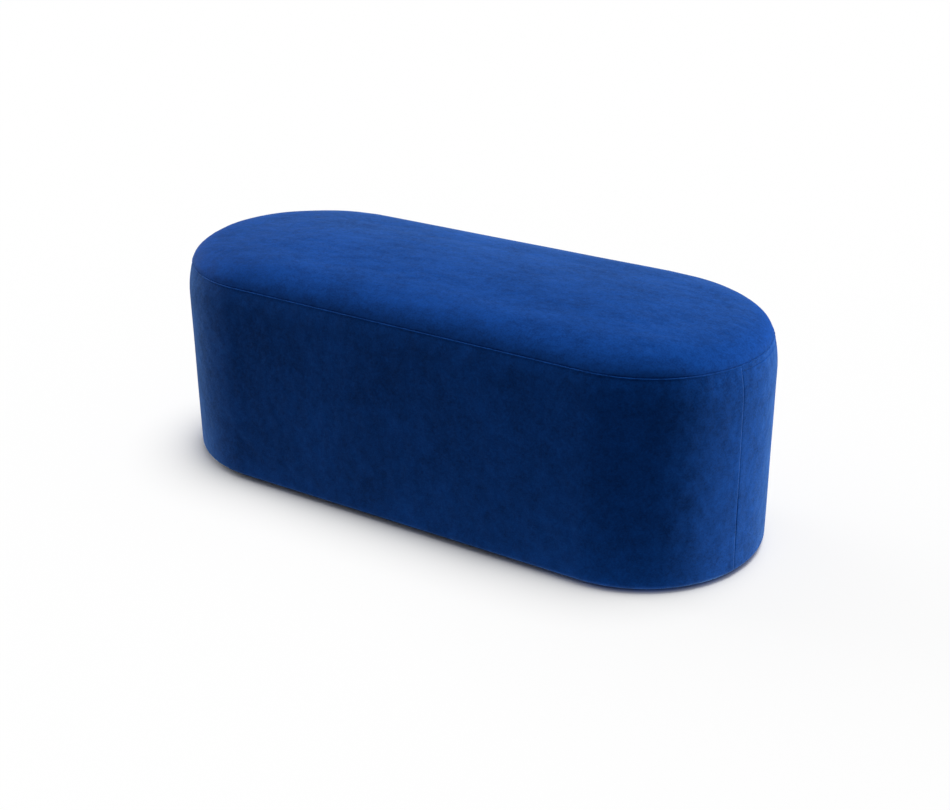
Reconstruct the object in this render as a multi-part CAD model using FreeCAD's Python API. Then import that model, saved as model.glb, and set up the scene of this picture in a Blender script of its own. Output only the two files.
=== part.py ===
"""Pill-shaped upholstered bench: a plywood frame with webbing, foam and a sewn velvet cover.

Millimetres, +Z up, +X along the bench, front towards -Y. The origin is on the floor under the middle.
"""

import FreeCAD
import Part

import math
import os

Vector = FreeCAD.Vector
UP = Vector(0, 0, 1)
ORIGIN = Vector(0, 0, 0)

# Overall size over the velvet
LENGTH = 1200.0
DEPTH = 466.0
HEIGHT = 444.0

# Section of the cover
SEAM_DROP = 47.5  # crown down to the seam round the seat
SEAM_LEAN = 27.0  # degrees that the cover leans in at that seam
SHOULDER_RADIUS = 97.0  # the band's turn in towards the seam
CROWN_RADIUS = 2900.0  # gentle crown across the seat
BOTTOM_ROLL = 13.0  # the band's turn under the base
HEM_WIDTH = 60.0  # band under the base, inside the roll
BAND_SEAM_ANGLE = -17.0  # degrees from the right end's tip; the other seam is turned half round

# Thickness of each layer
VELVET = 1.5
WADDING = 8.0
SEAT_FOAM = 56.0
SIDE_FOAM = 12.0
SKIN = 3.0
CLOTH = 0.8
WEBBING = 1.5
DUST_COVER = 0.6
GLUE_LINE = 0.3  # between layers that curve together

# Frame
BASE_BOARD = 15.0
SEAT_RING = 18.0
RING_WIDTH = 60.0
RIB = 15.0
RIB_COUNT = 4
RIB_DIP = 40.0  # room for the seat to sink above a rib
RIB_HOLE = 100.0
RIB_HOLE_SPACING = 190.0
TENON_LENGTH = 30.0
TENON_DEPTH = 8.0
TENON_CLEARANCE = 0.2
POST = 38.0
POST_ANGLE = 60.0  # degrees between the posts of one end

# Webbing
STRAP_COUNT = 10
STRAP_WIDTH = 60.0
STRAP_SETBACK = 8.0  # strap's end in from the frame's edge
STRAP_END_GAP = 20.0  # last strap in from the end of the ring's opening

# Underside
DUST_COVER_INSET = 22.0
GLIDE_DIAMETER = 38.0
GLIDE_HEIGHT = 6.0
GLIDE_CHAMFER = 1.5
GLIDE_INSET = 45.0  # side face in to the glide's centre
GLIDE_ANGLE = 40.0  # degrees from the end's tip
GLIDE_RECESS_DIAMETER = 11.0
GLIDE_RECESS_DEPTH = 3.0

# Screws and staples
FRAME_SCREW_DIAMETER = 4.5
FRAME_SCREW_HEAD = 9.0
FRAME_SCREW_LENGTH = 50.0
GLIDE_SCREW_DIAMETER = 4.0
GLIDE_SCREW_HEAD = 9.0
GLIDE_SCREW_HEAD_HEIGHT = 2.2
GLIDE_SCREW_LENGTH = 16.0
SCREW_CLEARANCE = 0.1
STAPLE_CROWN = 10.0
STAPLE_LEG = 8.0
STAPLE_WIRE = 0.5
STAPLE_CLEARANCE = 0.1
STAPLE_EDGE = 9.0  # staple in from the edge that it holds
HEM_STAPLE_PITCH = 60.0
DUST_STAPLE_PITCH = 70.0
SKIN_STAPLE_PITCH = 80.0
STRAP_STAPLE_SPACING = 32.0

# Plan sizes that follow
HALF_DEPTH = DEPTH / 2
CORE = (LENGTH - DEPTH) / 2
SKIN_OUTSIDE = HALF_DEPTH - VELVET - GLUE_LINE - SIDE_FOAM - GLUE_LINE
FRAME_EDGE = SKIN_OUTSIDE - SKIN - GLUE_LINE
RING_OPENING = FRAME_EDGE - RING_WIDTH
ROLL_CENTRE = HALF_DEPTH - BOTTOM_ROLL
HEM_EDGE = ROLL_CENTRE - HEM_WIDTH
DUST_COVER_EDGE = HALF_DEPTH - DUST_COVER_INSET
GLIDE_LINE = HALF_DEPTH - GLIDE_INSET
SEAM_NORMAL = Vector(math.cos(math.radians(SEAM_LEAN)), 0, math.sin(math.radians(SEAM_LEAN)))
SEAM_EDGE = HALF_DEPTH - SHOULDER_RADIUS * (1 - SEAM_NORMAL.x)

# Heights that follow
HEM_Z = GLIDE_HEIGHT + DUST_COVER
BASE_Z = HEM_Z + VELVET
BASE_TOP = BASE_Z + BASE_BOARD
SEAM_Z = HEIGHT - SEAM_DROP
CROWN_CENTRE = Vector(0, 0, HEIGHT - CROWN_RADIUS)
SHOULDER_Z = SEAM_Z - SHOULDER_RADIUS * SEAM_NORMAL.z
FOAM_Z = HEIGHT - VELVET - GLUE_LINE - WADDING - GLUE_LINE - SEAT_FOAM
CLOTH_Z = FOAM_Z - CLOTH
STRAP_Z = CLOTH_Z - WEBBING
RING_Z = STRAP_Z - SEAT_RING


def stadium(radius, bottom, top):
    """Upright prism whose plan is the bench's pill shape with ends of the given radius."""
    front = Vector(0, -radius, 0)
    along = Vector(CORE, 0, 0)
    tip = Vector(CORE + radius, 0, 0)
    edges = [
        Part.makeLine(front - along, front + along),
        Part.Arc(front + along, tip, along - front).toShape(),
        Part.makeLine(along - front, -along - front),
        Part.Arc(-along - front, -tip, front - along).toShape(),
    ]
    face = Part.Face(Part.Wire(edges))
    face.translate(UP * bottom)
    return face.extrude(UP * (top - bottom))


def swept(edges):
    """Solid made by taking a half section, drawn in the XZ plane from the Z axis out, round the plan."""
    half = Part.Face(Part.Wire(edges))
    half.rotate(ORIGIN, UP, -90)
    half.translate(Vector(-CORE, 0, 0))
    front = half.extrude(Vector(2 * CORE, 0, 0))
    half.translate(Vector(2 * CORE, 0, 0))
    right = half.revolve(Vector(CORE, 0, 0), UP, 180)
    pieces = [front, right]
    for piece in (front, right):
        turned = piece.copy()
        turned.rotate(ORIGIN, UP, 180)
        pieces.append(turned)
    return pieces[0].fuse(pieces[1:]).removeSplitter()


def section_point(distance, height):
    """Point of a half section."""
    return Vector(distance, 0, height)


def arc_between(centre, radius, start, end):
    """Edge along a circle of the section, with start and end given in degrees from the X axis."""
    angles = [math.radians(value) for value in (start, (start + end) / 2, end)]
    points = [centre + Vector(math.cos(a), 0, math.sin(a)) * radius for a in angles]
    return Part.Arc(*points).toShape()


def seat_edge():
    """Centre and radius of the seat's rounded edge, which leaves the seam as the band does and meets the crown."""
    seam = section_point(SEAM_EDGE, SEAM_Z)
    reach = seam - CROWN_CENTRE
    radius = (CROWN_RADIUS**2 - reach.dot(reach)) / (2 * (CROWN_RADIUS - reach.dot(SEAM_NORMAL)))
    return seam - SEAM_NORMAL * radius, radius


def seat_body(inset):
    """Everything above the seam, the given distance inside the cover's face."""
    centre, radius = seat_edge()
    start = math.degrees(math.asin((SEAM_Z - centre.z) / (radius - inset)))
    join = math.degrees(math.atan2(centre.z - CROWN_CENTRE.z, centre.x))
    edge = arc_between(centre, radius - inset, start, join)
    crown = arc_between(CROWN_CENTRE, CROWN_RADIUS - inset, join, 90)
    foot = edge.Vertexes[0].Point
    top = section_point(0, HEIGHT - inset)
    axis_foot = section_point(0, SEAM_Z)
    return swept([Part.makeLine(axis_foot, foot), edge, crown, Part.makeLine(top, axis_foot)])


def side_body(inset):
    """Everything below the seam, the given distance inside the cover's face."""
    roll_centre = section_point(ROLL_CENTRE, HEM_Z + BOTTOM_ROLL)
    roll = arc_between(roll_centre, BOTTOM_ROLL - inset, -90, 0)
    shoulder_centre = section_point(HALF_DEPTH - SHOULDER_RADIUS, SHOULDER_Z)
    radius = SHOULDER_RADIUS - inset
    end = math.degrees(math.asin((SEAM_Z - SHOULDER_Z) / radius))
    shoulder = arc_between(shoulder_centre, radius, 0, end)
    axis_foot = section_point(0, HEM_Z + inset)
    axis_top = section_point(0, SEAM_Z)
    edges = [
        Part.makeLine(axis_foot, roll.Vertexes[0].Point),
        roll,
        Part.makeLine(roll.Vertexes[1].Point, shoulder.Vertexes[0].Point),
        shoulder,
        Part.makeLine(shoulder.Vertexes[1].Point, axis_top),
        Part.makeLine(axis_top, axis_foot),
    ]
    return swept(edges)


def front_half(shape, angle, gap):
    """Part of a shape in front of two cuts, one at each end, at the given angle from the right end's tip."""
    outward = Vector(math.cos(math.radians(angle)), math.sin(math.radians(angle)), 0)
    across = Vector(outward.y, -outward.x, 0) * (gap / 2)
    centre = Vector(CORE, 0, 0)
    far = Vector(2 * LENGTH, 0, 0)
    down = Vector(0, -2 * LENGTH, 0)
    right = centre + across
    left = across - centre
    corners = [
        right,
        right + outward * LENGTH,
        far + down,
        down - far,
        left - outward * LENGTH,
        left,
    ]
    cutter = Part.Face(Part.makePolygon(corners + corners[:1]))
    cutter.translate(UP * -HEIGHT)
    return shape.common(cutter.extrude(UP * (3 * HEIGHT)))


def turned_half_round(shape):
    """Copy of a shape turned half round about the bench's upright axis."""
    copy = shape.copy()
    copy.rotate(ORIGIN, UP, 180)
    return copy


def half_chord(radius, x):
    """Half the pill shape's width at a distance along the bench."""
    past = max(0.0, abs(x) - CORE)
    return math.sqrt(radius**2 - past**2)


def stations(radius, pitch):
    """Points spread evenly round the pill shape, each with the angle that faces outward there."""
    length = 4 * CORE + 2 * math.pi * radius
    count = 2 * round(length / pitch / 2)
    found = []
    for number in range(count // 2):
        run = (number + 0.5) * length / count
        if run < 2 * CORE:
            point, angle = Vector(run - CORE, -radius, 0), -90.0
        else:
            angle = math.degrees((run - 2 * CORE) / radius) - 90
            turn = math.radians(angle)
            point = Vector(CORE + radius * math.cos(turn), radius * math.sin(turn), 0)
        found += [(point, angle), (-point, angle + 180)]
    return found


def staple(grow=0.0):
    """Staple with its crown along Y and its legs pointing up from the XY plane, made larger by a clearance."""
    width = STAPLE_WIRE + 2 * grow
    half = STAPLE_CROWN / 2 + grow
    crown = Part.makeBox(width, 2 * half, width, Vector(-width / 2, -half, -grow))
    legs = []
    for start in (-half, half - width):
        legs.append(Part.makeBox(width, width, STAPLE_LEG + 2 * grow, Vector(-width / 2, start, -grow)))
    return crown.fuse(legs).removeSplitter()


def placed_staples(placements):
    """Staples at the given placements, and the holes that they need."""
    shapes = [staple(), staple(STAPLE_CLEARANCE)]
    results = []
    for shape in shapes:
        group = []
        for placement in placements:
            copy = shape.copy()
            copy.Placement = placement
            group.append(copy)
        results.append(group)
    return results


def staples_from_below(radius, height, pitch):
    """Staples driven upward round the underside."""
    placements = []
    for point, angle in stations(radius, pitch):
        placements.append(FreeCAD.Placement(point + UP * height, FreeCAD.Rotation(UP, angle)))
    return placed_staples(placements)


def staples_from_side(radius, height, pitch):
    """Staples driven inward round the side."""
    lay_over = FreeCAD.Rotation(Vector(0, 1, 0), -90)
    placements = []
    for point, angle in stations(radius, pitch):
        turn = FreeCAD.Rotation(UP, angle).multiply(lay_over)
        placements.append(FreeCAD.Placement(point + UP * height, turn))
    return placed_staples(placements)


def countersunk_screw(grow=0.0):
    """Screw pointing up with its head flush with the XY plane, made larger by a clearance."""
    shank = FRAME_SCREW_DIAMETER / 2 + grow
    head = FRAME_SCREW_HEAD / 2 + grow
    cone = head - shank
    corners = [
        Vector(0, 0, -grow),
        Vector(head, 0, -grow),
        Vector(head, 0, 0),
        Vector(shank, 0, cone),
        Vector(shank, 0, FRAME_SCREW_LENGTH - 2 * shank),
        Vector(0, 0, FRAME_SCREW_LENGTH + grow),
    ]
    if not grow:
        corners.pop(1)
        corners[0] = ORIGIN
    face = Part.Face(Part.makePolygon(corners + corners[:1]))
    return face.revolve(ORIGIN, UP, 360)


def glide_screw(grow=0.0):
    """Pan-head screw pointing up whose head seats on the XY plane, made larger by a clearance."""
    shank = GLIDE_SCREW_DIAMETER / 2 + grow
    head = Part.makeCylinder(GLIDE_SCREW_HEAD / 2 + grow, GLIDE_SCREW_HEAD_HEIGHT, -UP * GLIDE_SCREW_HEAD_HEIGHT)
    return head.fuse(Part.makeCylinder(shank, GLIDE_SCREW_LENGTH + grow)).removeSplitter()


def glide():
    """Low round foot with a recessed screw hole, standing on the XY plane."""
    outside = GLIDE_DIAMETER / 2
    recess = GLIDE_RECESS_DIAMETER / 2
    bore = GLIDE_SCREW_DIAMETER / 2 + SCREW_CLEARANCE
    corners = [
        Vector(recess, 0, 0),
        Vector(outside - GLIDE_CHAMFER, 0, 0),
        Vector(outside, 0, GLIDE_CHAMFER),
        Vector(outside, 0, GLIDE_HEIGHT),
        Vector(bore, 0, GLIDE_HEIGHT),
        Vector(bore, 0, GLIDE_RECESS_DEPTH),
        Vector(recess, 0, GLIDE_RECESS_DEPTH),
    ]
    face = Part.Face(Part.makePolygon(corners + corners[:1]))
    return face.revolve(ORIGIN, UP, 360)


def moved(shape, point):
    """Copy of a shape moved to a point."""
    copy = shape.copy()
    copy.translate(point)
    return copy


def upside_down(shape):
    """Copy of a shape turned over about the X axis."""
    copy = shape.copy()
    copy.rotate(ORIGIN, Vector(1, 0, 0), 180)
    return copy


def rib_places():
    """Distances of the ribs along the bench."""
    step = 2 * CORE / (RIB_COUNT - 1)
    return [number * step - CORE for number in range(RIB_COUNT)]


def tenons(x, grow=0.0):
    """Four tenons of the rib at x, made larger by a clearance."""
    size = Vector(RIB + 2 * grow, TENON_LENGTH + 2 * grow, TENON_DEPTH + grow)
    middle = FRAME_EDGE - RING_WIDTH / 2
    blocks = []
    for y in (-middle, middle):
        for z in (BASE_TOP - TENON_DEPTH - grow, RING_Z):
            corner = Vector(x - size.x / 2, y - size.y / 2, z)
            blocks.append(Part.makeBox(size.x, size.y, size.z, corner))
    return blocks


def cross_rib(x):
    """Rib across the frame with a dipped top, two round holes and a tenon at each corner."""
    half = half_chord(FRAME_EDGE, abs(x) + RIB / 2)
    board = Part.makeBox(RIB, 2 * half, RING_Z - BASE_TOP, Vector(x - RIB / 2, -half, BASE_TOP))
    dip_half = half_chord(RING_OPENING, abs(x) + RIB / 2)
    dip = Part.makeBox(RIB, 2 * dip_half, RIB_DIP, Vector(x - RIB / 2, -dip_half, RING_Z - RIB_DIP))
    holes = []
    for side in (-1, 1):
        start = Vector(x - RIB / 2, side * RIB_HOLE_SPACING / 2, (BASE_TOP + RING_Z - RIB_DIP) / 2)
        holes.append(Part.makeCylinder(RIB_HOLE / 2, RIB, start, Vector(1, 0, 0)))
    return board.cut([dip] + holes).fuse(tenons(x)).removeSplitter()


def post_line():
    """Distance of a post's centre from the axis of its end, with its outer corners on the frame's edge."""
    return math.sqrt(FRAME_EDGE**2 - (POST / 2) ** 2) - POST / 2


def end_posts():
    """Square posts that hold the round ends, by name, each with its place and angle."""
    names = {"front": -POST_ANGLE, "tip": 0.0, "back": POST_ANGLE}
    found = {}
    for end, direction in (("right", 1), ("left", -1)):
        for name, angle in names.items():
            turn = math.radians(angle)
            place = Vector(direction * (CORE + post_line() * math.cos(turn)), post_line() * math.sin(turn), 0)
            found[f"end_post_{end}_{name}"] = (place, direction * angle)
    return found


def end_post(place, angle):
    """Square post between the base board and the seat ring."""
    block = Part.makeBox(POST, POST, RING_Z - BASE_TOP, Vector(-POST / 2, -POST / 2, BASE_TOP))
    block.rotate(ORIGIN, UP, angle)
    return moved(block, place)


def frame_screws(grow=0.0):
    """One screw up into the foot and one down into the head of each post."""
    upward = countersunk_screw(grow)
    downward = upside_down(upward)
    group = []
    for place, _ in end_posts().values():
        group.append(moved(upward, place + UP * BASE_Z))
        group.append(moved(downward, place + UP * STRAP_Z))
    return group


def glide_places():
    """Places of the glides by name: two under each end and one under the middle of each side."""
    turn = math.radians(GLIDE_ANGLE)
    x = CORE + GLIDE_LINE * math.cos(turn)
    y = GLIDE_LINE * math.sin(turn)
    return {
        "glide_front_left": Vector(-x, -y, 0),
        "glide_front_middle": Vector(0, -GLIDE_LINE, 0),
        "glide_front_right": Vector(x, -y, 0),
        "glide_back_left": Vector(-x, y, 0),
        "glide_back_middle": Vector(0, GLIDE_LINE, 0),
        "glide_back_right": Vector(x, y, 0),
    }


def strap_places():
    """Distances of the webbing straps along the bench."""
    last = CORE + RING_OPENING - STRAP_END_GAP - STRAP_WIDTH / 2
    step = 2 * last / (STRAP_COUNT - 1)
    return [number * step - last for number in range(STRAP_COUNT)]


def strap_half_length(x):
    """Half the length of the strap at x, which ends near the frame's edge."""
    return half_chord(FRAME_EDGE - STRAP_SETBACK, abs(x) + STRAP_WIDTH / 2)


def strap_staples(x):
    """Two staples at each end of the strap at x, driven down, and the holes that they need."""
    placements = []
    turn = FreeCAD.Rotation(UP, 90).multiply(FreeCAD.Rotation(Vector(1, 0, 0), 180))
    for side in (-1, 1):
        for offset in (-STRAP_STAPLE_SPACING / 2, STRAP_STAPLE_SPACING / 2):
            y = side * (strap_half_length(x) - STAPLE_EDGE)
            placements.append(FreeCAD.Placement(Vector(x + offset, y, CLOTH_Z), turn))
    return placed_staples(placements)


def build():
    """All the bench's pieces by node name."""
    pieces = {}
    skin_gap = GLUE_LINE
    hem_staples, hem_holes = staples_from_below(HEM_EDGE + STAPLE_EDGE, HEM_Z, HEM_STAPLE_PITCH)
    dust_staples, dust_holes = staples_from_below(
        DUST_COVER_EDGE - STAPLE_EDGE, GLIDE_HEIGHT, DUST_STAPLE_PITCH
    )
    low_staples, low_holes = staples_from_side(SKIN_OUTSIDE, BASE_Z + BASE_BOARD / 2, SKIN_STAPLE_PITCH)
    high_staples, high_holes = staples_from_side(SKIN_OUTSIDE, RING_Z + SEAT_RING / 2, SKIN_STAPLE_PITCH)
    screw_holes = frame_screws(SCREW_CLEARANCE)
    glide_seats = [place + UP * GLIDE_RECESS_DEPTH for place in glide_places().values()]
    glide_holes = [moved(glide_screw(SCREW_CLEARANCE), seat) for seat in glide_seats]
    mortises = [block for x in rib_places() for block in tenons(x, TENON_CLEARANCE)]

    # Webbing
    all_strap_staples = []
    all_strap_holes = []
    for number, x in enumerate(strap_places(), start=1):
        half = strap_half_length(x)
        strap = Part.makeBox(STRAP_WIDTH, 2 * half, WEBBING, Vector(x - STRAP_WIDTH / 2, -half, STRAP_Z))
        staples, holes = strap_staples(x)
        pieces[f"webbing_strap_{number:02d}"] = strap.cut(holes)
        all_strap_staples += staples
        all_strap_holes += holes
    pieces["webbing_staples"] = Part.makeCompound(all_strap_staples)
    pieces["platform_cloth"] = stadium(FRAME_EDGE, CLOTH_Z, FOAM_Z)

    # Frame
    inside_cover = side_body(VELVET)
    base = stadium(FRAME_EDGE, BASE_Z, BASE_TOP).common(inside_cover)
    pieces["base_board"] = base.cut(mortises + screw_holes + hem_holes + dust_holes + low_holes + glide_holes)
    ring = stadium(FRAME_EDGE, RING_Z, STRAP_Z).cut(stadium(RING_OPENING, RING_Z, STRAP_Z))
    pieces["seat_ring"] = ring.cut(mortises + screw_holes + all_strap_holes + high_holes)
    for number, x in enumerate(rib_places(), start=1):
        pieces[f"cross_rib_{number}"] = cross_rib(x)
    for name, (place, angle) in end_posts().items():
        pieces[name] = end_post(place, angle).cut(screw_holes)
    pieces["frame_screws"] = Part.makeCompound(frame_screws())
    under_cover = side_body(VELVET + GLUE_LINE)
    skins = stadium(SKIN_OUTSIDE, BASE_Z, STRAP_Z).cut(stadium(SKIN_OUTSIDE - SKIN, BASE_Z, STRAP_Z))
    skins = skins.common(under_cover).cut(low_holes + high_holes)
    pieces["front_skin"] = front_half(skins, 0.0, skin_gap)
    pieces["back_skin"] = turned_half_round(pieces["front_skin"])
    pieces["skin_staples"] = Part.makeCompound(low_staples + high_staples)

    # Padding
    foam_bottom = stadium(HALF_DEPTH, FOAM_Z, SEAM_Z).common(under_cover)
    foam_top = seat_body(VELVET + GLUE_LINE + WADDING + GLUE_LINE)
    pieces["seat_foam"] = foam_bottom.fuse(foam_top).removeSplitter()
    wadding = seat_body(VELVET + GLUE_LINE)
    pieces["seat_wadding"] = wadding.cut(seat_body(VELVET + GLUE_LINE + WADDING))
    side_foam = stadium(HALF_DEPTH, 0, FOAM_Z).common(under_cover)
    side_foam = side_foam.cut(stadium(SKIN_OUTSIDE + GLUE_LINE, 0, FOAM_Z))
    pieces["front_side_foam"] = front_half(side_foam, 0.0, skin_gap)
    pieces["back_side_foam"] = turned_half_round(pieces["front_side_foam"])

    # Cover
    pieces["top_cover"] = seat_body(0).cut(seat_body(VELVET))
    bands = side_body(0).cut([inside_cover, stadium(HEM_EDGE, HEM_Z, BASE_Z)])
    bands = bands.cut(hem_holes + dust_holes + glide_holes)
    pieces["front_band"] = front_half(bands, BAND_SEAM_ANGLE, 0.0)
    pieces["back_band"] = turned_half_round(pieces["front_band"])
    pieces["hem_staples"] = Part.makeCompound(hem_staples)

    # Underside
    dust_cover = stadium(DUST_COVER_EDGE, GLIDE_HEIGHT, HEM_Z)
    pieces["dust_cover"] = dust_cover.cut(dust_holes + glide_holes)
    pieces["dust_cover_staples"] = Part.makeCompound(dust_staples)
    for name, place in glide_places().items():
        pieces[name] = moved(glide(), place)
    pieces["glide_screws"] = Part.makeCompound([moved(glide_screw(), seat) for seat in glide_seats])
    return pieces


os.makedirs("parts", exist_ok=True)
for node, shape in build().items():
    shape.exportStep(f"parts/{node}.step")
    print(node, len(shape.Solids))
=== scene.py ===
"""Dresses the pill-shaped bench: sewn velvet over foam, on a plywood frame, in a plain pale studio."""

import logging
import math
from collections.abc import Callable, Iterator
from contextlib import contextmanager
from dataclasses import dataclass
from enum import Enum
from fnmatch import fnmatch

import bpy
from mathutils import Matrix, Vector, noise


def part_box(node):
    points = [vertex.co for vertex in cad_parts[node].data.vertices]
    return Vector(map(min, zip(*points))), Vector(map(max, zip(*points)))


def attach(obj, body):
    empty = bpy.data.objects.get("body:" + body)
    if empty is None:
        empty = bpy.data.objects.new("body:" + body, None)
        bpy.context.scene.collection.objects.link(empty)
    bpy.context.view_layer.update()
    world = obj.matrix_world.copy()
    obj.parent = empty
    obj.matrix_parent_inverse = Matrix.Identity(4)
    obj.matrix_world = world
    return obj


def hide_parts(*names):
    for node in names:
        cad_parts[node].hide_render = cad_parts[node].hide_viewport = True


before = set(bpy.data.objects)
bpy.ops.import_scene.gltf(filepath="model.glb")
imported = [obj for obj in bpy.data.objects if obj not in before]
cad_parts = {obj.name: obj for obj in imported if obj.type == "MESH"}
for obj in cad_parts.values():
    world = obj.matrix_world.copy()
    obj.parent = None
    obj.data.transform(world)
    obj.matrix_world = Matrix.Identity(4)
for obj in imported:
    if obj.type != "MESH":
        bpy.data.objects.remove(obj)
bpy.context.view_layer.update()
LOG = logging.getLogger("bench")
BODY = "root"

Colour = tuple[float, float, float, float]
Triple = tuple[float, float, float]
Span = tuple[float, float]
Setting = object  # a node's property or a socket's value

UP = Vector((0, 0, 1))
WHITE: Colour = (1, 1, 1, 1)
EVEN: Triple = (1, 1, 1)
NOISE_SPAN: Span = (0.3, 0.7)  # where most values of a noise lie
NOISE_ROUGHNESS = 0.55
SMOOTH_ANGLE = math.radians(40)
TINY = 1e-9  # keeps a division by a length safe


class Slot(Enum):
    """Material slots of the part's record."""

    VELVET = "velvet"
    WADDING = "wadding"
    FOAM = "foam"
    WEBBING = "webbing"
    FELT = "platform_cloth"
    DUST_CLOTH = "dust_cloth"


class Half(Enum):
    """Halves of the bench's side, from one upright seam to the other."""

    FRONT = "front"
    BACK = "back"


def operator_pair(operation: str) -> tuple[Callable, Callable]:
    """Makes an operator of a wire, and its form with a number on the left.

    Args:
        operation: The Math node's operation.

    Returns:
        The operator and its reflected form.
    """

    def forward(self: "Wire", other: "Wire | float") -> "Wire":
        """Joins this value and another."""
        return self.joined(operation, self, other)

    def reflected(self: "Wire", other: float) -> "Wire":
        """Joins a number and this value."""
        return self.joined(operation, other, self)

    return forward, reflected


class Wire:
    """Output socket of a shader node, with arithmetic that adds Math nodes."""

    def __init__(self, graph: "NodeGraph", socket: bpy.types.NodeSocket | None) -> None:
        """Keeps the graph and the socket, which an ending node doesn't have."""
        self.graph = graph
        self.socket = socket

    __add__, __radd__ = operator_pair("ADD")
    __sub__, __rsub__ = operator_pair("SUBTRACT")
    __mul__, __rmul__ = operator_pair("MULTIPLY")
    __truediv__, __rtruediv__ = operator_pair("DIVIDE")

    def joined(self, operation: str, first: "Wire | float", second: "Wire | float" = 0.0) -> "Wire":
        """Output of a Math node."""
        return self.graph.add("ShaderNodeMath", {"operation": operation}, {0: first, 1: second})

    def at_least(self, least: float) -> "Wire":
        """Value, or the least that it may be."""
        return self.joined("MAXIMUM", self, least)

    def size(self) -> "Wire":
        """Value without its sign."""
        return self.joined("ABSOLUTE", self)

    def root(self) -> "Wire":
        """Square root."""
        return self.joined("SQRT", self)


class NodeGraph:
    """Node tree of a material or of the surround, built through a single node-making method."""

    def __init__(self, owner: bpy.types.Material | bpy.types.World) -> None:
        """Empties the tree.

        Args:
            owner: The material or the surround.
        """
        self.owner = owner
        owner.use_nodes = True
        self.tree = owner.node_tree
        self.tree.nodes.clear()

    def add(
        self,
        kind: str,
        settings: dict[str, Setting] | None = None,
        sockets: dict[str | int, "Wire | Setting"] | None = None,
        out: str | int = 0,
    ) -> Wire:
        """Adds a node.

        Args:
            kind: The node's type.
            settings: The node's own properties.
            sockets: Values or links of its inputs, by name or number.
            out: The output to hand back.

        Returns:
            That output.
        """
        node = self.tree.nodes.new(kind)
        for name, value in (settings or {}).items():
            setattr(node, name, value)
        for key, value in (sockets or {}).items():
            if isinstance(value, Wire):
                self.tree.links.new(value.socket, node.inputs[key])
            else:
                node.inputs[key].default_value = value
        return Wire(self, node.outputs[out] if node.outputs else None)

    def place(self, stretch: Triple = EVEN) -> Wire:
        """Object coordinates, stretched along the axes."""
        where = self.add("ShaderNodeTexCoord", out="Object")
        return self.add("ShaderNodeMapping", {}, {"Vector": where, "Scale": stretch})

    def noise(self, scale: float, detail: float, stretch: Triple = EVEN) -> Wire:
        """Noise value from 0 to 1.

        Args:
            scale: Cells in a metre.
            detail: Octaves.
            stretch: Scale of each axis.

        Returns:
            The noise.
        """
        where = self.place(stretch)
        sockets = {"Vector": where, "Scale": scale, "Detail": detail, "Roughness": NOISE_ROUGHNESS}
        return self.add("ShaderNodeTexNoise", {}, sockets)

    def bands(self, direction: str, scale: float, stretch: Triple = EVEN, waviness: float = 0.0) -> Wire:
        """Soft bands from 0 to 1.

        Args:
            direction: The way that the bands follow each other.
            scale: How close they are.
            stretch: Scale of each axis.
            waviness: How far they wander.

        Returns:
            The bands.
        """
        sockets = {"Vector": self.place(stretch), "Scale": scale, "Distortion": waviness}
        return self.add("ShaderNodeTexWave", {"bands_direction": direction}, sockets, "Fac")

    def remap(self, value: Wire, span: Span, onto: Span = (0.0, 1.0)) -> Wire:
        """Value stretched from one span onto another and held inside it."""
        ends = dict(zip(("From Min", "From Max", "To Min", "To Max"), span + onto))
        return self.add("ShaderNodeMapRange", {"clamp": True}, {"Value": value, **ends})

    def mix(self, share: Wire, first: Colour, second: Colour) -> Wire:
        """Colour between two colours; the Mix node's sockets for colours go by number."""
        return self.add("ShaderNodeMix", {"data_type": "RGBA"}, {0: share, 6: first, 7: second}, 2)

    def bump(self, height: Wire, distance: float, strength: float = 1.0) -> Wire:
        """Normal of a surface that rises by a distance where the height is 1."""
        sockets = {"Height": height, "Distance": distance, "Strength": strength}
        return self.add("ShaderNodeBump", {}, sockets)

    def shader(self, sockets: dict[str | int, "Wire | Setting"]) -> Wire:
        """Principled shader."""
        return self.add("ShaderNodeBsdfPrincipled", {}, sockets)

    def blend(self, share: Wire, first: Wire, second: Wire) -> Wire:
        """Shader between two shaders."""
        return self.add("ShaderNodeMixShader", {}, {0: share, 1: first, 2: second})

    def shown(self) -> Wire:
        """Share of a ray that shows the surround: straight to the camera, or by way of metal or glass.

        Returns:
            The share, which is 0 for a ray that only carries light.
        """
        kinds = ("Is Camera Ray", "Is Glossy Ray", "Is Transmission Ray")
        camera, glossy, through = (self.add("ShaderNodeLightPath", out=kind) for kind in kinds)
        return camera + glossy + through

    def finish(self, shader: Wire) -> bpy.types.Material | bpy.types.World:
        """Ends the graph in a shader.

        Args:
            shader: What the surface shows.

        Returns:
            The material or the surround.
        """
        world = isinstance(self.owner, bpy.types.World)
        self.add("ShaderNodeOutputWorld" if world else "ShaderNodeOutputMaterial", {}, {"Surface": shader})
        return self.owner


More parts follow.
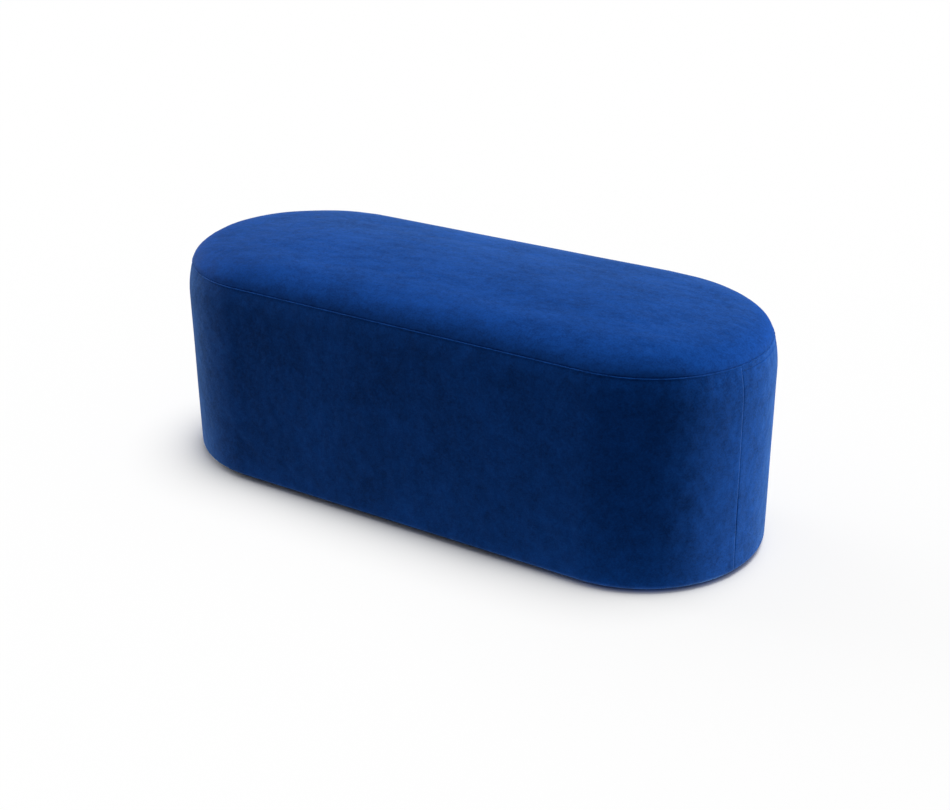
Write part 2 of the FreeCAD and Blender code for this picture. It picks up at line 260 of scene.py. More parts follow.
@dataclass(frozen=True)
class VelvetFinish:
    """Royal blue velvet: a dark pile with a pale sheen, brushed up in places and down in others."""

    name: str
    streak: Triple = EVEN
    down: Colour = (0.0012, 0.0290, 0.155, 1)
    up: Colour = (0.0026, 0.0620, 0.330, 1)
    down_sheen: float = 0.15
    up_sheen: float = 0.27
    sheen: Colour = (0.38, 0.72, 1.0, 1)
    sheen_roughness: float = 0.45
    roughness: Span = (0.80, 0.92)
    specular: float = 0.03
    cloud_scale: float = 8.0
    streak_scale: float = 40.0
    mottle_scale: float = 130.0
    pile_scale: float = 330.0
    ripple_scale: float = 34.0
    shares: tuple[float, float, float, float] = (0.27, 0.28, 0.22, 0.36)
    spread: float = 0.135
    relief: float = 0.0018
    mottle_relief: float = 0.05
    pile_relief: float = 0.02

    def material(self) -> bpy.types.Material:
        """Builds the velvet.

        Returns:
            The material.
        """
        graph = NodeGraph(bpy.data.materials.new(self.name))
        cloud = graph.noise(self.cloud_scale, detail=3.0, stretch=self.streak)
        streaks = graph.noise(self.streak_scale, detail=3.0, stretch=self.streak)
        mottle = graph.noise(self.mottle_scale, detail=2.0, stretch=self.streak)
        pile = graph.noise(self.pile_scale, detail=2.0)
        parts = [share * part for share, part in zip(self.shares, (cloud, streaks, mottle, pile))]
        middle = sum(self.shares) / 2
        nap = graph.remap(sum(parts[1:], parts[0]), (middle - self.spread, middle + self.spread))
        ripple = graph.noise(self.ripple_scale, detail=1.0, stretch=self.streak)
        height = ripple + self.mottle_relief * mottle + self.pile_relief * pile
        shared = {
            "Roughness": graph.remap(streaks, NOISE_SPAN, self.roughness),
            "Normal": graph.bump(height, self.relief),
            "Specular IOR Level": self.specular,
            "Sheen Roughness": self.sheen_roughness,
            "Sheen Tint": self.sheen,
        }
        flat = graph.shader({"Base Color": self.down, "Sheen Weight": self.down_sheen, **shared})
        raised = graph.shader({"Base Color": self.up, "Sheen Weight": self.up_sheen, **shared})
        return graph.finish(graph.blend(nap, flat, raised))


@dataclass(frozen=True)
class PlywoodFinish:
    """Plywood or planed wood, with thin layers along one axis and grain along another."""

    name: str
    veneers: Triple
    grain: Triple
    pale: Colour = (0.62, 0.45, 0.27, 1)
    dark: Colour = (0.36, 0.22, 0.11, 1)
    grain_scale: float = 30.0
    veneer_scale: float = 100.0
    veneer_waves: float = 0.4
    veneer_share: float = 0.28
    contrast: Span = (0.30, 0.75)
    roughness: Span = (0.55, 0.75)
    relief: float = 0.0006

    def material(self) -> bpy.types.Material:
        """Builds the wood.

        Returns:
            The material.
        """
        graph = NodeGraph(bpy.data.materials.new(self.name))
        fibre = graph.noise(self.grain_scale, detail=5.0, stretch=self.grain)
        layers = graph.bands("DIAGONAL", self.veneer_scale, self.veneers, self.veneer_waves)
        both = (1 - self.veneer_share) * fibre + self.veneer_share * layers
        sockets = {
            "Base Color": graph.mix(graph.remap(both, self.contrast), self.pale, self.dark),
            "Roughness": graph.remap(fibre, NOISE_SPAN, self.roughness),
            "Normal": graph.bump(fibre, self.relief, strength=0.4),
            "Specular IOR Level": 0.3,
        }
        return graph.finish(graph.shader(sockets))


@dataclass(frozen=True)
class FibreFinish:
    """Matted cloth or cut foam: two colours, a coarse and a fine texture."""

    name: str
    pale: Colour
    dark: Colour
    coarse: float
    fine: float
    relief: float
    fine_share: float = 0.45
    contrast: Span = (0.32, 0.68)
    roughness: Span = (0.82, 0.98)

    def material(self) -> bpy.types.Material:
        """Builds the cloth or foam.

        Returns:
            The material.
        """
        graph = NodeGraph(bpy.data.materials.new(self.name))
        broad = graph.noise(self.coarse, detail=4.0)
        small = graph.noise(self.fine, detail=2.0)
        both = (1 - self.fine_share) * broad + self.fine_share * small
        sockets = {
            "Base Color": graph.mix(graph.remap(both, self.contrast), self.pale, self.dark),
            "Roughness": graph.remap(small, NOISE_SPAN, self.roughness),
            "Normal": graph.bump(small, self.relief, strength=0.6),
            "Specular IOR Level": 0.15,
            "Sheen Weight": 0.2,
        }
        return graph.finish(graph.shader(sockets))


@dataclass(frozen=True)
class WebbingFinish:
    """Woven elastic webbing with ribs along the strap and picks across it."""

    name: str = "webbing_weave"
    pale: Colour = (0.10, 0.10, 0.105, 1)
    dark: Colour = (0.018, 0.018, 0.02, 1)
    rib_scale: float = 95.0
    pick_scale: float = 160.0
    wear_scale: float = 60.0
    wear_share: float = 0.3
    contrast: Span = (0.1, 0.7)
    roughness: Span = (0.70, 0.85)
    relief: float = 0.0006

    def material(self) -> bpy.types.Material:
        """Builds the webbing.

        Returns:
            The material.
        """
        graph = NodeGraph(bpy.data.materials.new(self.name))
        weave = graph.bands("X", self.rib_scale) * graph.bands("Y", self.pick_scale)
        wear = graph.noise(self.wear_scale, detail=3.0)
        both = (1 - self.wear_share) * weave + self.wear_share * wear
        sockets = {
            "Base Color": graph.mix(graph.remap(both, self.contrast), self.dark, self.pale),
            "Roughness": graph.remap(wear, NOISE_SPAN, self.roughness),
            "Normal": graph.bump(weave, self.relief, strength=0.7),
            "Specular IOR Level": 0.25,
        }
        return graph.finish(graph.shader(sockets))


@dataclass(frozen=True)
class HardFinish:
    """Moulded plastic or plated steel with fine scuffs."""

    name: str
    clean: Colour
    scuffed: Colour
    metallic: float
    roughness: Span
    scuff_scale: float = 220.0
    grain_scale: float = 1400.0
    contrast: Span = (0.42, 0.68)
    relief: float = 0.0001

    def material(self) -> bpy.types.Material:
        """Builds the plastic or metal.

        Returns:
            The material.
        """
        graph = NodeGraph(bpy.data.materials.new(self.name))
        scuffs = graph.noise(self.scuff_scale, detail=4.0)
        grain = graph.noise(self.grain_scale, detail=2.0)
        sockets = {
            "Base Color": graph.mix(graph.remap(scuffs, self.contrast), self.clean, self.scuffed),
            "Metallic": self.metallic,
            "Roughness": graph.remap(scuffs, NOISE_SPAN, self.roughness),
            "Normal": graph.bump(grain, self.relief, strength=0.5),
        }
        return graph.finish(graph.shader(sockets))


def graded(length: float, first: float, growth: float, most: float) -> list[float]:
    """Places from 0 to a length, close together at the start and then further apart.

    Args:
        length: The last place.
        first: The first spacing.
        growth: How much each spacing grows.
        most: The widest spacing.

    Returns:
        The places.
    """
    places, step = [0.0], first
    while places[-1] + step < length - step / 2:
        places.append(places[-1] + step)
        step = min(step * growth, most)
    return places + [length]


def graded_both(length: float, first: float, growth: float, most: float) -> list[float]:
    """Places from 0 to a length, close together at both ends."""
    half = graded(length / 2, first, growth, most)
    return half + [length - place for place in reversed(half[:-1])]


def smooth_step(low: float, high: float, value: float) -> float:
    """Share from 0 to 1 that a value has gone between two limits, eased at both."""
    share = min(max((value - low) / (high - low), 0.0), 1.0)
    return share * share * (3 - 2 * share)


def bell(offset: float, width: float) -> float:
    """Share that is 1 in the middle and falls off to both sides."""
    return math.exp(-((offset / width) ** 2))


@dataclass(frozen=True)
class Station:
    """Place on the plan: distance round it, the point that a section turns about, and the way it faces."""

    run: float
    root: Vector
    facing: Vector

    def at(self, reach: float, height: float) -> Vector:
        """Place at a distance out from the root and at a height."""
        return self.root + self.facing * reach + Vector((0, 0, height))


@dataclass(frozen=True)
class SectionPoint:
    """Place on the cover's section: distance along it from the seam, place, and the way that it faces."""

    run: float
    reach: float
    height: float
    out: float
    up: float

    def lifted(self, lift: float) -> Span:
        """Reach and height at a distance off the cover's face."""
        return self.reach + lift * self.out, self.height + lift * self.up


@dataclass(frozen=True)
class PillPlan:
    """The bench seen from above: two straight sides and two round ends."""

    length: float = 1.200
    depth: float = 0.466
    seam_angle: float = math.radians(-17.0)
    lean: float = 0.0014
    lean_height: Span = (0.10, 0.36)
    lean_reach: Span = (0.05, 0.20)
    left_drop: float = 0.0066
    right_drop: float = 0.0045
    drop_length: Span = (0.28, 0.50)
    drop_height: Span = (0.397, 0.427)

    @property
    def radius(self) -> float:
        """Radius of the round ends."""
        return self.depth / 2

    @property
    def core(self) -> float:
        """Half the length of the straight sides."""
        return (self.length - self.depth) / 2

    @property
    def half_lap(self) -> float:
        """Half the way round the plan."""
        return 2 * self.core + math.pi * self.radius

    def area(self, reach: float) -> float:
        """Area of a pill on the same core with a given reach."""
        return 4 * self.core * reach + math.pi * reach**2

    def root(self, place: Vector) -> Vector:
        """Nearest point of the core line that the plan is drawn round."""
        return Vector((min(max(place.x, -self.core), self.core), 0, 0))

    def settled(self, place: Vector) -> Vector:
        """Where a place on the soft cover ends up: the sides lean in and the seat drops at its ends.

        Args:
            place: The place on the plain form.

        Returns:
            The settled place.
        """
        away = Vector((place.x, place.y, 0)) - self.root(place)
        lean = smooth_step(*self.lean_height, place.z) * smooth_step(*self.lean_reach, away.length)
        drop = self.left_drop if place.x < 0 else self.right_drop
        drop *= smooth_step(*self.drop_length, abs(place.x)) * smooth_step(*self.drop_height, place.z)
        return place - away.normalized() * (self.lean * lean) - Vector((0, 0, drop))

    def station(self, run: float, radius: float, start: float) -> Station:
        """Place reached by going clockwise round the plan from the right end.

        Args:
            run: Distance gone at the given radius.
            radius: Radius of the ends that the distance is measured on.
            start: Angle at the right end that the distance starts from.

        Returns:
            The station.
        """
        lap = 4 * self.core + 2 * math.pi * radius
        left = (run + (math.pi / 2 - start) * radius) % lap
        arc, side = math.pi * radius, 2 * self.core
        if left < arc:
            angle, root = math.pi / 2 - left / radius, Vector((self.core, 0, 0))
        elif left < arc + side:
            angle, root = -math.pi / 2, Vector((self.core - (left - arc), 0, 0))
        elif left < 2 * arc + side:
            angle, root = -math.pi / 2 - (left - arc - side) / radius, Vector((-self.core, 0, 0))
        else:
            angle, root = math.pi / 2, Vector((left - 2 * arc - side - self.core, 0, 0))
        return Station(run, root, Vector((math.cos(angle), math.sin(angle), 0)))

    def lap_stations(self, radius: float, spacing: float) -> list[Station]:
        """Stations round the whole plan, alike on its front and back.

        Args:
            radius: Radius of the ends that distances are measured on.
            spacing: Distance between stations, nearly.

        Returns:
            The stations, the last one on the first.
        """
        runs = [0.0]
        for length in (math.pi * radius, 2 * self.core) * 2:
            count = round(length / spacing)
            runs += [runs[-1] + length * step / count for step in range(1, count + 1)]
        return [self.station(run, radius, math.pi / 2) for run in runs]


@dataclass(frozen=True)
class CoverSection:
    """The cover cut across: hem, roll, side, shoulder, seam, rounded edge and crown."""

    half_depth: float = 0.233
    height: float = 0.4475
    seam_drop: float = 0.0510
    seam_lean: float = math.radians(19.0)
    edge_lean: float = math.radians(12.0)
    shoulder_radius: float = 0.194
    crown_radius: float = 1.200
    bottom_roll: float = 0.013
    hem_width: float = 0.060
    hem_ease: float = 0.012
    floor_gap: float = 0.0050
    hem_gap: float = 0.0066

    @property
    def seam(self) -> Span:
        """Reach and height of the seam round the seat."""
        inset = self.shoulder_radius * (1 - math.cos(self.seam_lean))
        return self.half_depth - inset, self.height - self.seam_drop

    @property
    def crown_base(self) -> float:
        """Height of the crown's centre."""
        return self.height - self.crown_radius

    def edge(self) -> tuple[float, float, float, float]:
        """The rounded edge between the seam and the crown.

        Returns:
            Reach and height of its centre, its radius, and the angle where the crown takes over.
        """
        reach, height = self.seam
        out, up = math.cos(self.edge_lean), math.sin(self.edge_lean)
        rise = height - self.crown_base
        spare = self.crown_radius**2 - reach**2 - rise**2
        radius = spare / (2 * (self.crown_radius - reach * out - rise * up))
        reach, height = reach - radius * out, height - radius * up
        return reach, height, radius, math.atan2(height - self.crown_base, reach)

    def seat_length(self) -> float:
        """Distance along the seat from the seam to the middle."""
        _, _, radius, join = self.edge()
        return radius * (join - self.edge_lean) + self.crown_radius * (math.pi / 2 - join)

    def seat_point(self, run: float) -> SectionPoint:
        """Point of the seat.

        Args:
            run: Distance from the seam.

        Returns:
            The point.
        """
        reach, height, radius, join = self.edge()
        edge_length = radius * (join - self.edge_lean)
        if run < edge_length:
            angle = self.edge_lean + run / radius
        else:
            angle = min(join + (run - edge_length) / self.crown_radius, math.pi / 2)
            reach, height, radius = 0.0, self.crown_base, self.crown_radius
        out, up = math.cos(angle), math.sin(angle)
        return SectionPoint(run, reach + radius * out, height + radius * up, out, up)

    def band_lengths(self) -> tuple[float, float, float, float]:
        """Lengths of the band's four stretches.

        Returns:
            The lengths of the shoulder, the straight side, the roll and the hem.
        """
        shoulder = self.shoulder_radius * self.seam_lean
        shoulder_height = self.seam[1] - self.shoulder_radius * math.sin(self.seam_lean)
        side = shoulder_height - self.floor_gap - self.bottom_roll
        return shoulder, side, self.bottom_roll * math.pi / 2, self.hem_width

    def band_point(self, run: float) -> SectionPoint:
        """Point of the band.

        Args:
            run: Distance down from the seam.

        Returns:
            The point.
        """
        shoulder, side, roll, _ = self.band_lengths()
        roll_height = self.floor_gap + self.bottom_roll
        if run < shoulder:
            radius, angle = self.shoulder_radius, self.seam_lean - run / self.shoulder_radius
            centre = self.seam[1] - radius * math.sin(self.seam_lean)
        elif run < shoulder + side:
            return SectionPoint(run, self.half_depth, roll_height + shoulder + side - run, 1.0, 0.0)
        elif run < shoulder + side + roll:
            radius, angle = self.bottom_roll, -(run - shoulder - side) / self.bottom_roll
            centre = roll_height
        else:
            inward = run - shoulder - side - roll
            ease = smooth_step(0.0, self.hem_ease, inward)
            height = self.floor_gap + (self.hem_gap - self.floor_gap) * ease
            return SectionPoint(run, self.half_depth - self.bottom_roll - inward, height, 0.0, -1.0)
        out, up = math.cos(angle), math.sin(angle)
        return SectionPoint(run, self.half_depth - radius * (1 - out), centre + radius * up, out, up)


@dataclass
class Bench:
    """Sizes and steps that the soft sub-assemblies share."""

    plan: PillPlan = PillPlan()
    section: CoverSection = CoverSection()
    weld: float = 0.00002
    sliver: float = 0.00001

    @staticmethod
    def pick(piece: bpy.types.Object) -> None:
        """Selects one object alone and makes it active.

        Args:
            piece: The object.
        """
        bpy.ops.object.select_all(action="DESELECT")
        piece.select_set(True)
        bpy.context.view_layer.objects.active = piece

    @classmethod
    @contextmanager
    def editing(cls, piece: bpy.types.Object) -> Iterator[None]:
        """Opens a piece alone in edit mode with all its points selected, and closes it again.

        Args:
            piece: The piece to edit.
        """
        cls.pick(piece)
        bpy.ops.object.mode_set(mode="EDIT")
        bpy.ops.mesh.select_mode(type="VERT")
        bpy.ops.mesh.select_all(action="SELECT")
        yield
        bpy.ops.object.mode_set(mode="OBJECT")

    @staticmethod
    def select_open_edges() -> None:
        """Selects the open edges of the piece in edit mode."""
        bpy.ops.mesh.select_mode(type="EDGE")
        bpy.ops.mesh.select_all(action="DESELECT")
        bpy.ops.mesh.select_non_manifold(
            extend=False, use_wire=False, use_boundary=True, use_multi_face=False
        )

    @staticmethod
    def cut(name: str, columns: int, rows: int) -> bpy.types.Object:
        """Lays out a flat grid, one metre each way.

        Args:
            name: The piece's name.
            columns: Faces along it.
            rows: Faces across it.

        Returns:
            The grid.
        """
        bpy.ops.object.select_all(action="DESELECT")
        bpy.ops.mesh.primitive_grid_add(x_subdivisions=columns, y_subdivisions=rows, size=1)
        piece = bpy.context.active_object
        piece.name = piece.data.name = name
        return piece

    def wrapped(
        self, name: str, columns: int, rows: int, place: Callable[[int, int], Vector]
    ) -> bpy.types.Object:
        """Lays out a flat cut as a grid, takes each point to its place and closes what meets.

        Args:
            name: The piece's name.
            columns: Points along the cut.
            rows: Points across it.
            place: Gives the place of a column and a row.

        Returns:
            The piece.
        """
        piece = self.cut(name, columns - 1, rows - 1)
        piece.data.transform(Matrix.Translation((0.5, 0.5, 0)))
        piece.data.transform(Matrix.Diagonal((columns - 1, rows - 1, 1, 1)))
        for vertex in piece.data.vertices:
            vertex.co = place(round(vertex.co.x), round(vertex.co.y))
        with self.editing(piece):
            bpy.ops.mesh.remove_doubles(threshold=self.weld)
            bpy.ops.mesh.dissolve_degenerate(threshold=self.sliver)
            bpy.ops.mesh.normals_make_consistent(inside=False)
        bpy.ops.object.shade_smooth()
        return piece

    def pill_cloth(
        self, name: str, node: str, spacing: float, runs: list[float], drop: Callable[[Station, float], float]
    ) -> bpy.types.Object:
        """Models a level cloth in the place of a thin pill-shaped solid.

        Args:
            name: The piece's name.
            node: The solid.
            spacing: Distance between points round the edge.
            runs: Distances of the rows from the edge, the last one in the middle.
            drop: Gives how far the cloth hangs down at a station and a distance from the edge.

        Returns:
            The cloth.
        """
        low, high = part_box(node)
        reach = self.reach_of(node)
        stations = self.plan.lap_stations(reach, spacing)

        def place(column: int, row: int) -> Vector:
            """Place of the cloth."""
            station = stations[column % (len(stations) - 1)]
            return station.at(reach - runs[row], high.z - drop(station, runs[row]))

        piece = self.wrapped(name, len(stations), len(runs), place)
        self.face_out(piece, lambda centre: UP)
        self.thicken(piece, high.z - low.z)
        return piece

    @staticmethod
    def reach_of(node: str) -> float:
        """Half the depth of a solid."""
        low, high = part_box(node)
        return (high.y - low.y) / 2

    def declare_pill(self, piece: bpy.types.Object, node: str, held: str, rests_on: str) -> None:
        """Works out the area of a level pill-shaped cloth's solid, which nothing uses.

        Args:
            piece: The cloth; not used.
            node: The solid that it stands for.
            held: How it is held; not used.
            rests_on: What it rests on; not used.
        """
        reach = self.reach_of(node)
        self.plan.area(reach)

    def settle_shape(self, piece: bpy.types.Object) -> None:
        """Settles a soft piece's points."""
        for vertex in piece.data.vertices:
            vertex.co = self.plan.settled(vertex.co)

    @staticmethod
    def turn(piece: bpy.types.Object, half: Half) -> None:
        """Turns the back half's piece half round, as it is made like the front one."""
        if half is Half.BACK:
            piece.data.transform(Matrix.Rotation(math.pi, 4, "Z"))

    @classmethod
    def face_out(cls, piece: bpy.types.Object, outward: Callable[[Vector], Vector]) -> None:
        """Turns an open sheet's faces to the outside.

        Args:
            piece: The sheet.
            outward: Gives the outward way at a place.
        """
        votes = sum(face.normal.dot(outward(face.center)) for face in piece.data.polygons)
        if votes < 0:
            with cls.editing(piece):
                bpy.ops.mesh.flip_normals()

    @classmethod
    def thicken(cls, piece: bpy.types.Object, thickness: float) -> None:
        """Gives a sheet its thickness, inwards.

        Args:
            piece: The sheet.
            thickness: Its thickness.
        """
        cls.pick(piece)
        wall = piece.modifiers.new("thickness", "SOLIDIFY")
        wall.thickness = thickness
        wall.offset = -1.0
        bpy.ops.object.modifier_apply(modifier=wall.name)

    @staticmethod
    def dress(piece: bpy.types.Object, material: bpy.types.Material, slot: Slot, node: str) -> None:
        """Puts a finish on a new piece, sets it on the bench and hides the solid that it stands for.

        Args:
            piece: The new piece.
            material: Its finish.
            slot: The record's slot; not used.
            node: The solid that it replaces.
        """
        piece.data.materials.clear()
        piece.data.materials.append(material)
        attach(piece, BODY)
        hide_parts(node)
        LOG.info("%s: %d faces, for %s", piece.name, len(piece.data.polygons), node)


@dataclass
class VelvetCover(Bench):
    """The sewn cover: a seat panel and two side panels that meet round the seat and in two upright seams."""

    # The seat's pile colours hold about twice the side's red: painted sheen, for the paler sheen that the
    # seat shows where it is seen at a low angle.
    seat_finish: VelvetFinish = VelvetFinish(
        "seat_velvet_pile_and_painted_sheen",
        streak=(0.75, 1.0, 1.0),
        down=(0.0024, 0.0292, 0.152, 1),
        up=(0.0054, 0.0625, 0.322, 1),
        down_sheen=0.055,
        up_sheen=0.095,
        shares=(0.28, 0.22, 0.22, 0.30),
        relief=0.0011,
    )
    side_finish: VelvetFinish = VelvetFinish("side_velvet_pile")
    thickness: float = 0.0015
    # Seams: their grooves and the edges tucked into them
    seam_depth: float = 0.0008
    seam_width: float = 0.0012
    seam_power: float = 1.6
    seat_dip: float = 0.4
    end_dip: float = 1.2
    end_span: Span = (0.50, 0.95)
    upright_dip: float = 0.75
    tuck: float = 0.0042
    upright_tuck: float = 0.0012
    slant: float = 0.02
    # Fold of the band beside the seam, and the allowance that shows through
    fold: float = 0.0012
    fold_at: float = 0.0014
    fold_width: float = 0.0011
    stitch_scale: float = 120.0
    stitch_share: float = 0.5
    allowance: float = 0.0095
    allowance_rise: float = 0.0005
    ridge_start: float = 0.002
    ridge_edge: Span = (-0.0007, 0.0009)
    upright_rise: float = 0.5
    upright_edge: Span = (-0.001, 0.003)
    press: float = 0.0010
    press_width: float = 0.0009
    press_span: Span = (0.12, 0.26)
    # Gathers and unevenness of the cloth
    pucker: float = 0.0005
    pucker_reach: float = 0.016
    pucker_start: float = 0.004
    pucker_scales: Span = (95.0, 31.0)
    pucker_shares: Span = (0.6, 0.8)
    curve_gather: float = 3.0
    curve_span: Span = (0.0, 0.35)
    upright_gather: float = 0.5
    unevenness: float = 0.0008
    uneven_scale: Triple = (7.0, 9.0, 8.0)
    uneven_start: Span = (0.0, 0.06)
    # Rows of the noise
    seat_seed: float = 1.0
    seat_uneven_seed: float = 3.0
    front_seed: float = 11.0
    back_seed: float = 5.0
    stitch_seed: float = 4.0
    upright_seed: float = 2.0
    broad_seed: float = 7.0
    # Spacing of the cuts' points: first, growth and widest, or counts
    seat_spacing: float = 0.0052
    seat_rows: Triple = (0.0008, 1.22, 0.0085)
    band_columns: Triple = (0.0008, 1.3, 0.0036)
    fold_rows: Triple = (0.0005, 1.22, 0.0015)
    line_room: float = 0.0015
    line_step: float = 0.0005
    line_rows: int = 7
    side_rows: Triple = (0.0008, 1.3, 0.011)
    roll_rows: int = 7
    hem_rows: int = 6
    # Simulation of the seat panel
    sim_frames: int = 20
    sim_pressure: float = 4.0
    sim_hold: float = 0.2
    sim_padding: float = 0.08
    sim_start: float = 0.003
    sim_span: Span = (0.06, 0.14)
    sim_cap: float = 0.0035
    sim_inward_cap: float = 0.0005
    held_rows: int = 3
    quick_span: Span = (0.095, 0.176)

    def ruffle(self, run: float, across: float, seed: float) -> float:
        """Small gathers that the stitching pulls into the cloth beside a seam.

        Args:
            run: Distance along the seam.
            across: Distance from it.
            seed: Row of the noise.

        Returns:
            The rise of the cloth.
        """
        fine = noise.noise((run * self.pucker_scales[0], seed, 0.0))
        broad = noise.noise((run * self.pucker_scales[1], seed + self.broad_seed, 0.0))
        wave = self.pucker_shares[0] * fine + self.pucker_shares[1] * broad
        near = math.exp(-across / self.pucker_reach) * smooth_step(0.0, self.pucker_start, across)
        return self.pucker * wave * near

    def dip(self, across: float) -> float:
        """Depth of the groove at a distance from a seam."""
        return self.seam_depth * math.exp(-((across / self.seam_width) ** self.seam_power))

    def swell(self, place: Vector, seed: float) -> float:
        """Slow unevenness of the padding under the cloth."""
        along, across, up = self.uneven_scale
        return self.unevenness * noise.noise((place.x * along, place.y * across + seed, place.z * up))

    def around(self, place: Vector) -> tuple[Vector, float, float]:
        """Where a place is on the plan.

        Args:
            place: A place on the cover.

        Returns:
            The outward way there, the distance from the plan's core and the distance round the seam.
        """
        root = self.plan.root(place)
        away = Vector((place.x, place.y, 0)) - root
        reach = max(away.length, TINY)
        facing = away / reach
        angle = math.atan2(facing.y, facing.x)
        return facing, reach, angle * self.section.seam[0] - root.x * math.copysign(1.0, place.y)

    def seam_way(self, place: Vector) -> Vector:
        """Outward way at the seam round the seat."""
        lean = (self.section.seam_lean + self.section.edge_lean) / 2
        return self.around(place)[0] * math.cos(lean) + UP * math.sin(lean)

    def seat_panel(self) -> bpy.types.Object:
        """Cuts and sews the seat's velvet panel.

        Returns:
            The panel.
        """
        stations = self.plan.lap_stations(self.section.seam[0], self.seat_spacing)
        runs = graded(self.section.seat_length(), *self.seat_rows)
        points = [self.section.seat_point(run) for run in runs]

        def place(column: int, row: int) -> Vector:
            """Place of the cloth, low by the room that the simulation takes up."""
            low = self.sim_start * smooth_step(*self.sim_span, runs[row])
            return stations[column % (len(stations) - 1)].at(*points[row].lifted(-low))

        piece = self.wrapped("seat_velvet", len(stations), len(points), place)
        self.face_out(piece, lambda centre: UP)
        held_height = points[self.held_rows].height
        self._simulate(piece, [v.index for v in piece.data.vertices if v.co.z <= held_height])
        self._sew_seat(piece)
        self.thicken(piece, self.thickness)
        self.settle_shape(piece)
        return piece

    def _raise_evenly(self, piece: bpy.types.Object) -> None:
        for vertex in piece.data.vertices:
            vertex.co.z += self.sim_start * (1 - smooth_step(*self.quick_span, self.around(vertex.co)[1]))

    def _simulate(self, piece: bpy.types.Object, seam_points: list[int]) -> None:
        """Lets the cloth swell over its padding, held fast at the seam and softly elsewhere.

        Args:
            piece: The seat panel, a little low all over.
            seam_points: Points that the stitching holds.
        """
        vertices = piece.data.vertices
        held = piece.vertex_groups.new(name="held")
        held.add([vertex.index for vertex in vertices], self.sim_hold, "REPLACE")
        held.add(seam_points, 1.0, "REPLACE")
        cloth = piece.modifiers.new("swell", "CLOTH")
        settings = {
            "vertex_group_mass": held.name,
            "quality": 5,
            "mass": 0.4,
            "tension_stiffness": 25,
            "compression_stiffness": 25,
            "shear_stiffness": 12,
            "bending_stiffness": 4,
            "use_pressure": True,
            "uniform_pressure_force": self.sim_pressure,
            "pin_stiffness": self.sim_padding,
        }
        for name, value in settings.items():
            setattr(cloth.settings, name, value)
        cloth.settings.effector_weights.gravity = 0
        cloth.collision_settings.use_collision = False
        scene = bpy.context.scene
        for number in range(1, self.sim_frames + 1):
            scene.frame_set(number)
        swollen = piece.evaluated_get(bpy.context.evaluated_depsgraph_get())
        moved = [vertex.co.copy() for vertex in swollen.to_mesh().vertices]
        swollen.to_mesh_clear()
        piece.modifiers.remove(cloth)
        piece.vertex_groups.remove(held)
        scene.frame_set(1)
        steps = [new - vertex.co for new, vertex in zip(moved, vertices)]
        normals = [vertex.normal.copy() for vertex in vertices]
        for vertex, step, normal in zip(vertices, steps, normals):
            cap = self.sim_cap if step.dot(normal) > 0 else self.sim_inward_cap
            vertex.co += step * (cap * math.tanh(step.length / cap) / max(step.length, TINY))
        lengths = sorted(step.length * 1000 for step in steps)
        middle = lengths[len(lengths) // 2]
        words = "%s: simulated, half of it moved %.2f mm or more, the most %.2f mm"
        LOG.info(words, piece.name, middle, lengths[-1])

    def _sew_seat(self, piece: bpy.types.Object) -> None:
        """Presses the groove and gathers into the seat panel's edge, and tucks the edge in.

        Args:
            piece: The seat panel.
        """
        seam_reach, seam_height = self.section.seam
        normals = [vertex.normal.copy() for vertex in piece.data.vertices]
        for vertex, normal in zip(piece.data.vertices, normals):
            facing, reach, run = self.around(vertex.co)
            across = math.hypot(seam_reach - reach, vertex.co.z - seam_height)
            lift = self.swell(vertex.co, self.seat_uneven_seed) * smooth_step(*self.uneven_start, across)
            lift += self.ruffle(run, across, self.seat_seed)
            dip = self.seat_dip + (self.end_dip - self.seat_dip) * smooth_step(*self.end_span, abs(facing.x))
            vertex.co += normal * lift - self.seam_way(vertex.co) * (dip * self.dip(across))
        with self.editing(piece):
            self.select_open_edges()
            bpy.ops.mesh.extrude_edges_move()
        for vertex in piece.data.vertices:
            if vertex.select:
                vertex.co -= self.seam_way(vertex.co) * self.tuck

    def side_panel(self, half: Half) -> bpy.types.Object:
        """Cuts and sews a side panel.

        Args:
            half: The half of the side that it covers.

        Returns:
            The panel.
        """
        columns = graded_both(self.plan.half_lap, *self.band_columns)
        points = [self.section.band_point(run) for run in self._band_runs()]
        seed = self.front_seed if half is Half.FRONT else self.back_seed
        last = len(columns) - 1

        def place(column: int, row: int) -> Vector:
            """Place of the cloth, with its seams pressed in and its edges tucked under.

            Args:
                column: Number of a point along the panel, with a tucked one at each end.
                row: Number of a point down it, the first one tucked.

            Returns:
                The place.
            """
            edge = column in (0, last + 2)
            along = columns[min(max(column - 1, 0), last)]
            point = points[max(row - 1, 0)]
            run = along + self.slant * point.height
            station = self.plan.station(run, self.plan.radius, self.plan.seam_angle)
            lift = self._band_lift(station, point, along, seed)
            if row == 0:
                lift -= self.tuck
            elif edge:
                lift -= self.upright_tuck
            return station.at(*point.lifted(lift))

        piece = self.wrapped(f"{half.value}_band_velvet", len(columns) + 2, len(points) + 1, place)
        self.face_out(piece, lambda centre: self.around(centre)[0])
        self.thicken(piece, self.thickness)
        self.turn(piece, half)
        self.settle_shape(piece)
        return piece

    def _band_runs(self) -> list[float]:
        """Rows of a side panel: close at the fold and at the pressed line, wider down the side.

        Returns:
            Their distances down from the seam.
        """
        shoulder, side, roll, hem = self.section.band_lengths()
        line = self.allowance - self.line_room
        runs = graded(line, *self.fold_rows)
        runs += [line + self.line_step * step for step in range(1, self.line_rows + 1)]
        below, bottom = runs[-1], shoulder + side
        runs += [below + run for run in graded(bottom - below, *self.side_rows)[1:]]
        runs += [bottom + roll * step / self.roll_rows for step in range(1, self.roll_rows + 1)]
        return runs + [bottom + roll + hem * step / self.hem_rows for step in range(1, self.hem_rows + 1)]

